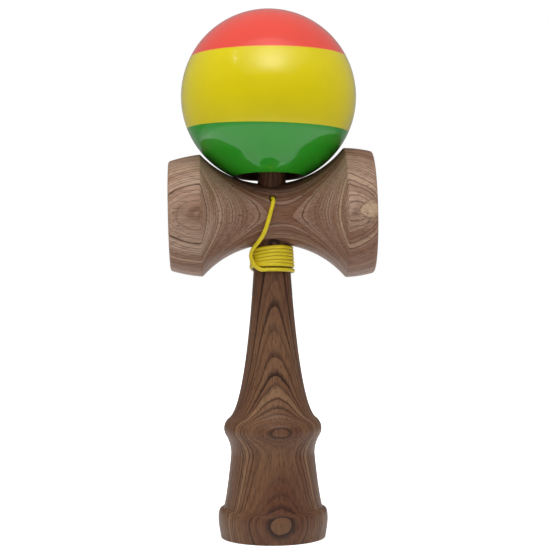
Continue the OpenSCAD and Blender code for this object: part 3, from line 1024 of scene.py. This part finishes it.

# %% [markdown]
# ## Oil
#
# Both big pieces are rubbed with oil, which leaves a soft sheen and lets the pores be felt. A finish is
# a material with the wood group in it. The group gives its colour, its roughness and a height for a
# faint bump, and the shader itself stays in the material. A plain wood has no knot, no sapwood and no
# painted shade, so each finish only has to name the values in which its wood differs.

# %% Oil the wood
OIL_GLOSS = 0.25
GRAIN_DEPTH = 0.03 * MM
PLAIN_WOOD = {"Late Start": 0.4, "Painted Shade Depth": -50, "Pale Depth": 90, "Pale Width": 1, "Knot": (0, 0, 1000),
              "Knot Size": 1}


def start_finish(material):
    """Turns nodes on and returns the tree and the shader's inputs."""
    material.use_nodes = True
    return material.node_tree, material.node_tree.nodes["Principled BSDF"].inputs


def bump(height, depth):
    """A normal for a surface that is raised by its height times the depth."""
    return node(height.tree, "ShaderNodeBump", named={"Height": height, "Distance": depth})


def place_wood(point, sizes):
    """Puts the wood figure into a material with its own values, and returns its outputs by name."""
    group = point.tree.nodes.new("ShaderNodeGroup")
    group.node_tree = wood_figure
    feed(point.tree, group.inputs, {**PLAIN_WOOD, **sizes, "Point": point})
    return wires(point.tree, group.outputs)


def finish_wood(material, place, turned, sizes):
    """Gives a material the wood figure with its own sizes and an oiled sheen."""
    tree, shader = start_finish(material)
    wood = place_wood(figure_point(tree, place, turned), sizes)
    feed(tree, shader, {
        "Base Color": wood["Color"], "Roughness": wood["Roughness"], "Specular IOR Level": OIL_GLOSS,
        "Normal": bump(wood["Height"], GRAIN_DEPTH)})
    print("finish:", material.name)


# %% [markdown]
# ## Three woods
#
# The handle is a dark brown wood with straight grain along it and its shells facing forwards. The cross
# piece is from a greyer board that lies across, it has a knot in the big cup's rim, and its waist under
# the ball gets painted shade. The bead is a small piece of plain pale wood. Three separate materials could
# be drawn, but the same group with other widths, places and colours makes all of them.

# %% Finish the woods
HANDLE_TURN, CROSS_TURN = radians(4.5), radians(-5.5)
RIM_KNOT = Vector((31.8, -20.2, 112.1))
finish_wood(handle_finish, (0, 0, 0), (0, 0, HANDLE_TURN), {
    "Ring Width": 0.85, "Ring Shift": 15.92, "Pith": 80, "Wander": 1.2, "Pale Depth": 11.0,
    "Pale Width": 0.8, "Early": paint(118, 84, 59), "Late": paint(45, 26, 18),
    "Ruddy": paint(92, 56, 38), "Pale": paint(142, 108, 78),
})
cross_turn = Matrix.Rotation(CROSS_TURN, 3, "Z") @ Matrix.Rotation(CROSS_TILT, 3, "Y")
knot_place = cross_turn.inverted() @ (RIM_KNOT - Vector((0, 0, CROSS_Z)))
# The cross piece's waist under the ball gets painted shade: where its wood lies less deep than a given
# depth, it turns ruddier
finish_wood(cross_finish, (0, 0, CROSS_Z), (0, CROSS_TILT, CROSS_TURN), {
    "Ring Width": 0.55, "Ring Shift": 0.1, "Late Start": 0.55, "Pith": 90, "Wander": 1.1, "Painted Shade Depth": 15.5,
    "Pale Depth": 17.0, "Pale Width": 0.5, "Knot": knot_place, "Knot Size": 4.2, "Knot Lift": 1.2,
    "Early": paint(181, 152, 131), "Late": paint(82, 52, 38), "Ruddy": paint(127, 88, 66),
    "Pale": paint(188, 159, 130),
})
finish_wood(bead_finish, bead_centre, (0, 0, 0), {
    "Ring Width": 0.7, "Pith": 25, "Wander": 0.8, "Early": paint(206, 172, 128),
    "Late": paint(170, 130, 88), "Ruddy": paint(196, 156, 110), "Pale": paint(220, 190, 150),
})

# %% [markdown]
# ## Lacquer
#
# The ball is sprayed in three bands, which are masked one after the other, and then clear-coated until
# it shines like glass. The height above the ball's middle decides the colour. The lower edge is very
# slightly crooked, as masking tape is. Red and green lie over the yellow, so they stand up by the
# thickness of their paint, and the clear coat has a faint orange peel. The wide hole stays bare, dark
# wood, so there the coat is taken off again.

# %% Spray the ball
RED_EDGE, GREEN_EDGE = 12.95, -11.9
GREEN_TILT = -sin(radians(1.46))
BAND_LEAN = (radians(-2), 0, 0)
EDGE_BLUR = 0.07
# Above the red's lower edge its thin paint lets the yellow through
SEEP_TOP, SEEP_LOW = 0.35, 0.1
RED, SEEP, YELLOW, GREEN = paint(229, 77, 64), paint(234, 148, 58), paint(219, 201, 6), paint(22, 148, 20)
CLOUD_GRAIN, CLOUD_SHARE = (0.08, 0.08, 0.08), 0.08
PEEL_GRAIN, PEEL_SHARE = (0.5, 0.5, 0.5), 0.12
PAINT_DEPTH = 0.02 * MM
PAINT_ROUGHNESS, BARE_ROUGHNESS, PAINT_GLOSS = 0.35, 0.6, 0.15
COAT_ROUGHNESS, COAT_IOR = 0.03, 1.39
# Bare wood starts inside the wide hole's lip and ends where the string hole begins
BARE_RANGE, BARE_TOP = (11.9, 11.75), (24.0, 20.0)

tree, shader = start_finish(ball_finish)
point = figure_point(tree, BALL_CENTRE, BAND_LEAN)
across, _, height = split(point)
above_green = fade(height - across * GREEN_TILT, GREEN_EDGE - EDGE_BLUR, GREEN_EDGE + EDGE_BLUR)
above_yellow = fade(height, RED_EDGE - EDGE_BLUR, RED_EDGE + EDGE_BLUR)
red = mix(fade(height, RED_EDGE + SEEP_TOP, RED_EDGE + SEEP_LOW), RED, SEEP)
color = mix(above_yellow, mix(above_green, GREEN, YELLOW), red)
cloud = noise(point, CLOUD_GRAIN, 3.0) - 0.5
color = scaled(color, cloud * CLOUD_SHARE + 1.0)
leaning_point = figure_point(tree, BALL_CENTRE, BALL_TILT)
beside, behind, along = split(leaning_point)
bare = fade(from_axis(beside, behind), *BARE_RANGE) * fade(along, *BARE_TOP)
hole_wood = place_wood(leaning_point, {
    "Ring Width": 0.9, "Pith": 40, "Wander": 1, "Early": paint(96, 66, 47), "Late": paint(58, 37, 27),
    "Ruddy": paint(84, 55, 39), "Pale": paint(110, 80, 60)})
peel = noise(point, PEEL_GRAIN, 1.0) * PEEL_SHARE
relief = bump(above_yellow + peel - above_green, PAINT_DEPTH)
feed(tree, shader, {
    "Base Color": mix(bare, color, hole_wood["Color"]),
    "Roughness": fade(bare, 0.0, 1.0, PAINT_ROUGHNESS, BARE_ROUGHNESS),
    "Specular IOR Level": PAINT_GLOSS, "Normal": relief, "Coat Weight": 1.0 - bare,
    "Coat Roughness": COAT_ROUGHNESS, "Coat IOR": COAT_IOR, "Coat Normal": relief})
print("finish:", ball_finish.name)

# %% [markdown]
# ## The string's finish
#
# The cord is bright yellow and a little shiny. The braid tree stored how far each point lies in a
# strand, and the material reads that number back: the hollows between the strands get painted shade and
# are rougher than the strands themselves. A fine noise gives single fibres. Around the neck the turns lie
# side by side, and less light reaches the grooves between them, so painted shade darkens them too.

# %% Dye the string
# The braid's hollows get painted shade: a darker yellow than the strands
HOLLOW_SHADE_YELLOW, STRAND_YELLOW = paint(194, 170, 4), paint(229, 205, 8)
HOLLOW_SHADE_END, SMOOTH_FROM = 0.4, 0.8
FLUFF_GRAIN, FLUFF_SHARE = (6.0, 6.0, 6.0), 0.2
FLUFF_DEPTH = 0.02 * MM
# Painted shade in the grooves of the winding lies between these shares of the string's thickness above the
# neck, up to the winding's top
GROOVE_START, GROOVE_FULL, GROOVE_SHADE = 0.94, 0.76, 0.45
WINDING_TOP, WINDING_BLUR = 102.0, 1.0
ROUGHNESS_RANGE = (0.65, 0.4)

tree, shader = start_finish(string_finish)
strand = node(tree, "ShaderNodeAttribute", out="Fac", attribute_name="strand")
point = figure_point(tree)
across, away, up = split(point)
fluff = noise(point, FLUFF_GRAIN) - 0.5
# Painted shade in the hollows of the braid
color = mix(fade(strand, 0.0, HOLLOW_SHADE_END), HOLLOW_SHADE_YELLOW, STRAND_YELLOW)
neck = NECK_FOOT_R + NECK_TAPER * NECK_FOOT_Z - up * NECK_TAPER
raised = from_axis(across, away) - neck
# Painted shade: the grooves between the turns of the winding are darkened
groove_shade = fade(raised, STRING_GAP + GROOVE_START * STRING_D, STRING_GAP + GROOVE_FULL * STRING_D)
groove_shade = groove_shade * fade(up, WINDING_TOP, WINDING_TOP - WINDING_BLUR)
feed(tree, shader, {
    "Base Color": scaled(color, fluff * FLUFF_SHARE + 1.0 - groove_shade * GROOVE_SHADE),
    "Roughness": fade(strand, 0.0, SMOOTH_FROM, *ROUGHNESS_RANGE), "Normal": bump(fluff, FLUFF_DEPTH)})
print("finish:", string_finish.name)

# %% [markdown]
# ## The table
#
# The toy stands on a white table in front of white paper. Both are lit by the same lamps as the toy, but
# the camera and the reflections should see clean white, so the Light Path node adds a little light for
# those rays only. The table still gets darker under the toy, so it keeps a soft shadow. The paper is
# the world's background, which needs no mesh and reaches behind every view.

# %% Set the table
WHITE = (1, 1, 1, 1)
FLOOR_SIDE = 6.0
TABLE_SPECKLE = (0.02, 0.02, 0.02)
TABLE_TONES = paint(236, 236, 236), paint(241, 241, 241)
TABLE_ROUGHNESS, TABLE_GLOSS = 0.9, 0.1
# The table's own light, from under the toy outwards, in millimetres
SHADOW_RANGE, SHADOW_LIGHT = (40.0, 140.0), 0.66
WORLD_FILL = 0.25


def seen_directly(tree):
    """1 for rays from the camera, from reflections and through glass."""
    rays = ("Is Camera Ray", "Is Glossy Ray", "Is Transmission Ray")
    seen, mirrored, through = [node(tree, "ShaderNodeLightPath", out=ray) for ray in rays]
    return maths("MAXIMUM", maths("MAXIMUM", seen, mirrored), through)


def panel(name, width, height, place, aim):
    """A flat rectangle in metres that faces a point."""
    look = facing(place, aim)
    corners = [Vector((x * width / 2, y * height / 2, 0)) for x, y in ((-1, -1), (-1, 1), (1, 1), (1, -1))]
    mesh = bpy.data.meshes.new(name)
    mesh.from_pydata([Vector(place) + look @ corner for corner in corners], [], [(0, 1, 2, 3)])
    made = put(name, mesh)
    return made


floor_panel = panel("table", FLOOR_SIDE, FLOOR_SIDE, (0, 0, 0), (0, 0, 1))
table_finish = bpy.data.materials.new("white_table")
tree, shader = start_finish(table_finish)
point = figure_point(tree)
own_light = fade(vector_maths("LENGTH", point, out="Value"), *SHADOW_RANGE, SHADOW_LIGHT, 1.0)
feed(tree, shader, {
    "Base Color": mix(noise(point, TABLE_SPECKLE, 3.0), *TABLE_TONES), "Roughness": TABLE_ROUGHNESS,
    "Specular IOR Level": TABLE_GLOSS, "Emission Color": WHITE,
    "Emission Strength": seen_directly(tree) * own_light})
floor_panel.data.materials.append(table_finish)

world = bpy.data.worlds.new("white_paper")
scene.world = world
world.use_nodes = True
tree = world.node_tree
paper_light = fade(seen_directly(tree), 0.0, 1.0, WORLD_FILL, 1.0)
feed(tree, tree.nodes["Background"].inputs, {"Color": WHITE, "Strength": paper_light})
print("studio:", floor_panel.name, "and", world.name)

# %% [markdown]
# ## The lamps
#
# A product photograph is lit from large soft lamps, so that shadows have no hard edge. One hangs in
# front of the toy and above the camera and does most of the work. Two more stand at the sides, the left
# one a little brighter. They are area lamps, whose power is worked out from how bright their face should
# look, because that stays the same when a lamp is made larger.

# %% Hang the lamps
LAMP_AIM = (0, 0, 0.1)
FRONT_PLACE, FRONT_SIZE, FRONT_GLOW = (0, -0.42, 0.75), (0.9, 0.6), 2.7
SIDE_PLACE, SIDE_SIZE, SIDE_GLOW = Vector((0.75, -0.15, 0.75)), (0.6, 0.8), 1.7
LEFT_EXTRA = 0.35


def soft_lamp(name, width, height, place, glow):
    """A rectangular lamp; glow is how bright its face looks, with white paper as 1."""
    data = bpy.data.lights.new(name, "AREA")
    data.shape = "RECTANGLE"
    data.size, data.size_y = width, height
    data.energy = glow * pi * width * height
    lamp = put(name, data)
    lamp.location = place
    lamp.rotation_euler = facing(place, LAMP_AIM).to_euler()
    print("lamp:", name, round(data.energy, 2), "W")
    return lamp


lamps = [soft_lamp("front_softbox", *FRONT_SIZE, FRONT_PLACE, FRONT_GLOW)]
for side in (-1, 1):
    place = SIDE_PLACE * Vector((side, 1, 1))
    lamps.append(soft_lamp(f"side_softbox_{side}", *SIDE_SIZE, place, SIDE_GLOW - LEFT_EXTRA * side))

# %% [markdown]
# ## What the ball mirrors
#
# A clear-coated ball mirrors the whole studio, so its reflections are arranged apart from the light. The
# lamps are kept out of them. In their place hangs a panel that is bright in the middle and fades to its
# sides, as the cloth of a softbox does, with small glints near its ends. Only reflections see the
# panel: it casts no light and no shadow, and the camera looks through it.

# %% Hang the softbox face
FACE_SIZE, FACE_PLACE, FACE_AIM = (1.3, 1.04), (0, -0.67, 0.7), (0, -0.67, 0)
FACE_LIGHT = 0.4
GLOW_PLACE, GLOW_SPREAD, GLOW_LIGHT = Vector((30, -640, 700)), (190, 230, 1000), 5.4
GLINTS = [(Vector((-440, -235, 700)), 2.0), (Vector((-505, -345, 700)), 5.0),
          (Vector((-565, -430, 700)), 3.0), (Vector((505, -460, 700)), 1.2)]
GLINT_SPREAD = (28, 28, 1000)


def reflections_only(made):
    """Hides a stage piece from everything but reflections."""
    for ray in ("camera", "diffuse", "shadow", "transmission", "volume_scatter"):
        setattr(made, "visible_" + ray, False)
    return made


def start_glow(name):
    """A material that gives off light and mirrors nothing; returns it with its tree and its inputs."""
    material = bpy.data.materials.new(name)
    tree, shader = start_finish(material)
    feed(tree, shader, {"Base Color": (0, 0, 0, 1), "Specular IOR Level": 0, "Emission Strength": 1})
    return material, tree, shader


def spot(point, centre, stretch, strength):
    """A soft round or long spot of light around a point."""
    offset = vector_maths("DIVIDE", vector_maths("SUBTRACT", point, centre), stretch)
    squared = vector_maths("DOT_PRODUCT", offset, offset, out="Value")
    return maths("EXPONENT", squared * -0.5) * strength


softbox_face = reflections_only(panel("softbox_face", *FACE_SIZE, FACE_PLACE, FACE_AIM))
face_finish, tree, shader = start_glow("softbox_cloth")
point = figure_point(tree)
light = spot(point, GLOW_PLACE, GLOW_SPREAD, GLOW_LIGHT) + FACE_LIGHT
for centre, strength in GLINTS:
    light = light + spot(point, centre, GLINT_SPREAD, strength)
feed(tree, shader, {"Emission Color": scaled(WHITE[:3], light)})
softbox_face.data.materials.append(face_finish)
for lamp in lamps:
    lamp.visible_glossy = False
print("mirrored:", softbox_face.name)

# %% [markdown]
# ## The grey tent
#
# Round glossy things are often photographed in a tent of cloth, because they mirror the room in every
# direction. This tent is turned on the lathe like the toy. It is dark towards the camera and keeps the
# white paper off the ball's edge. Its floor has a round hole for the table, and around that hole the
# white runs out, so the ball's underside mirrors a pale field with dark sides. Like the panel, the tent
# is there for reflections alone.

# %% Pitch the tent
TENT_PLACE = (0, 70, 0)
TENT_OUTLINE = [(265, 1), (1500, 1), (1500, 900), (1150, 1500), (0, 1900)]
TENT_STEPS = 48
# The cloth's light from front to back, and the table's white that runs out on the tent's floor
CLOTH_RANGE, CLOTH_LIGHT = (-1400.0, 900.0), (0.03, 0.32)
RUNOUT_RANGE, RUNOUT_LIGHT = (265.0, 390.0), (0.85, 0.0)

tent_finish, tree, shader = start_glow("grey_tent_cloth")
point = figure_point(tree, TENT_PLACE)
_, behind, _ = split(point)
cloth = fade(behind, *CLOTH_RANGE, *CLOTH_LIGHT)
runout = fade(vector_maths("LENGTH", point, out="Value"), *RUNOUT_RANGE, *RUNOUT_LIGHT)
feed(tree, shader, {"Emission Color": scaled(WHITE[:3], cloth + runout)})
tent = settle(turn("tent", TENT_OUTLINE, TENT_STEPS, tent_finish, TENT_PLACE), "grey_tent")
reflections_only(tent)
